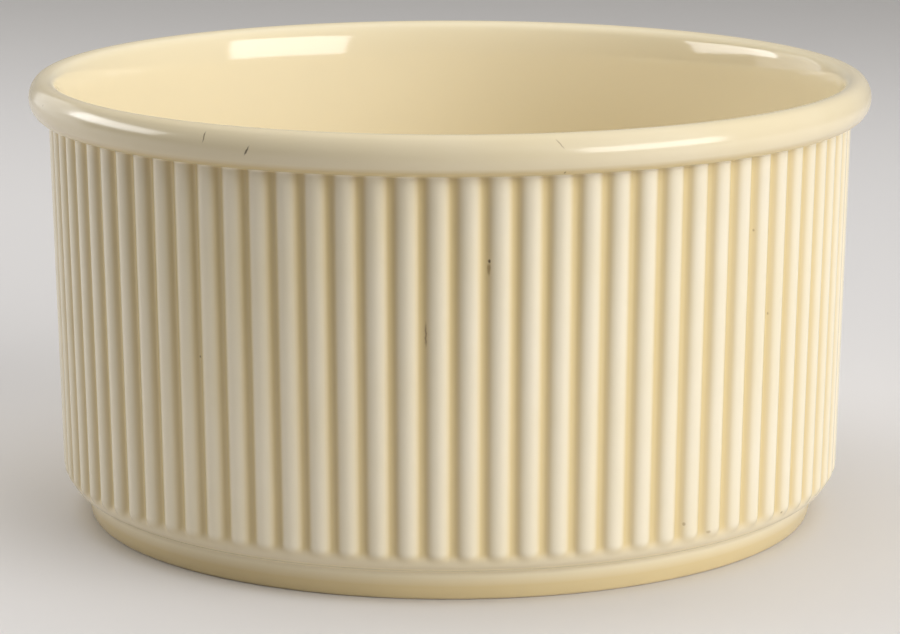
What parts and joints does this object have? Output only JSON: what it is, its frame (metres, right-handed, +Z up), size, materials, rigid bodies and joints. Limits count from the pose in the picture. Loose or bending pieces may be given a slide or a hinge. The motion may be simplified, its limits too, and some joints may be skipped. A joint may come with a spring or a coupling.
{
  "type": "souffle dish",
  "caption": "Round, nearly straight-sided baking dish with a rolled rim, fine upright ribs round the outside and a low foot ring.",
  "frame": {"origin": "centre of the foot ring, on the table", "axes": "+Z up along the dish's axis, towards the open mouth; one rib lies on +X"},
  "size_m": [0.19, 0.19, 0.1],
  "materials": {
    "cream_glaze": "clear gloss glaze over cream earthenware"
  },
  "bodies": {
    "root": {"souffle_dish": "cream_glaze"}
  },
  "joints": []
}
